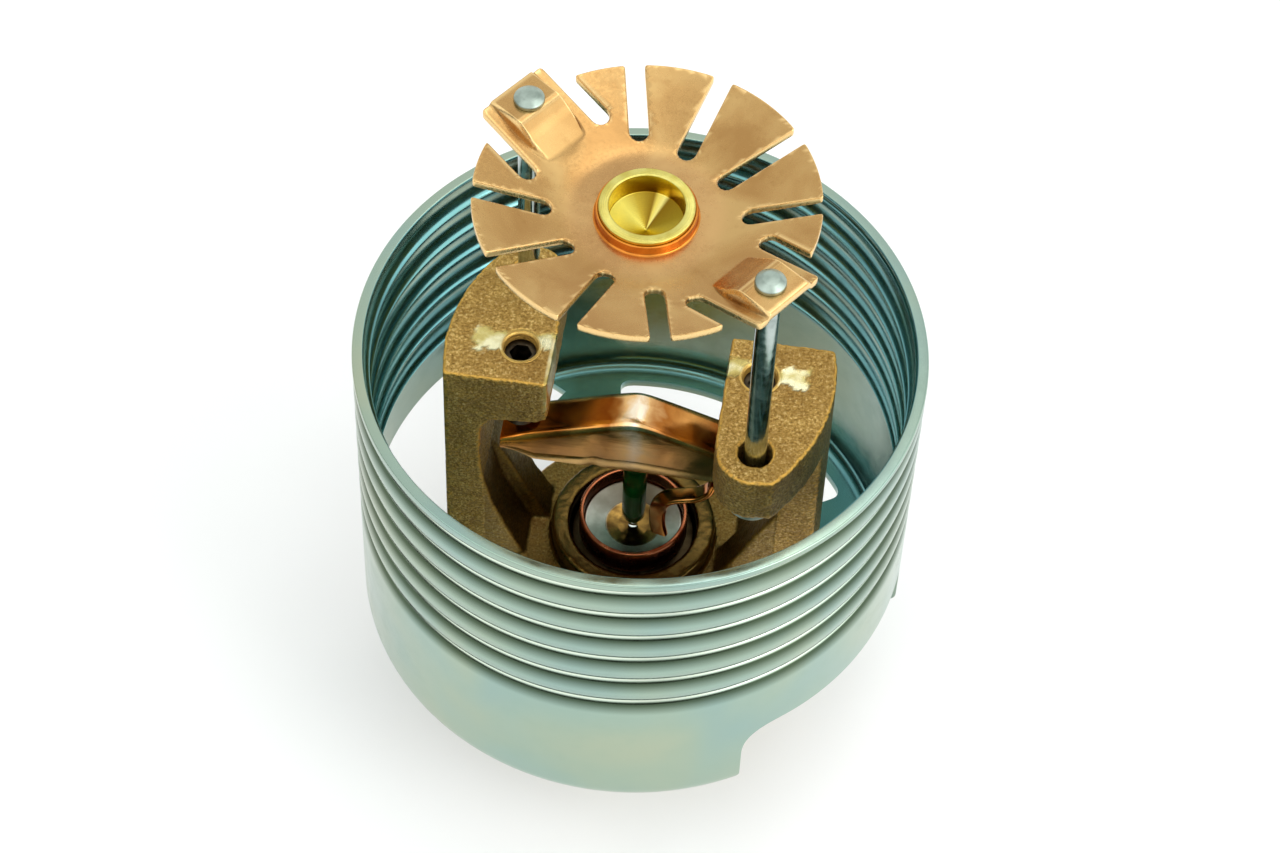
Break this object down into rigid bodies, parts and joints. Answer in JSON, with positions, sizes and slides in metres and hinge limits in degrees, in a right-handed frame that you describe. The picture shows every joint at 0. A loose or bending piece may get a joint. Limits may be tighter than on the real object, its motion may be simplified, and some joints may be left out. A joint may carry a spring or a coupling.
{
  "type": "fire sprinkler head",
  "caption": "Concealed pendent fire sprinkler head without cover plate: threaded support cup, cast frame, glass bulb release and toothed drop-down deflector on two guide pins.",
  "frame": {"origin": "centre of the inlet nipple's end face, which is the lowest face", "axes": "+Z from the inlet to the deflector, which is downwards in a ceiling; X runs through both frame arms"},
  "size_m": [0.057, 0.057, 0.0801],
  "materials": {
    "cast_brass": "sand-cast, grainy, satin",
    "zinc_plate": "zinc plate with a clear blue-green passivate, satin",
    "deflector_bronze": "stamped phosphor bronze, satin",
    "turned_brass": "turned, bright",
    "pin_steel": "polished",
    "screw_steel": "blackened, slightly oily",
    "yoke_bronze": "polished phosphor bronze",
    "bulb_glass": "clear",
    "green_liquid": "coloured liquid",
    "cap_copper": "copper, satin",
    "insert_steel": "satin",
    "washer_nickel": "satin",
    "seal_polymer": "fluoropolymer, matte"
  },
  "bodies": {
    "head": {"frame": "cast_brass", "support_cup": "zinc_plate", "set_screw_left": "screw_steel", "set_screw_right": "screw_steel", "yoke": "yoke_bronze", "ejector_spring": "yoke_bronze", "glass_bulb": "bulb_glass", "bulb_liquid": "green_liquid", "pip_cap": "cap_copper", "cap_insert": "insert_steel", "belleville_washer": "washer_nickel", "seal_ring": "seal_polymer"},
    "drop_deflector": {"deflector": "deflector_bronze", "deflector_nose": "turned_brass", "guide_pin_left": "pin_steel", "guide_pin_right": "pin_steel"}
  },
  "joints": [
    {"name": "deflector_drop", "type": "slide", "parent": "head", "child": "drop_deflector", "axis": [0, 0, 1], "range_m": [-0.0215, 0]}
  ]
}
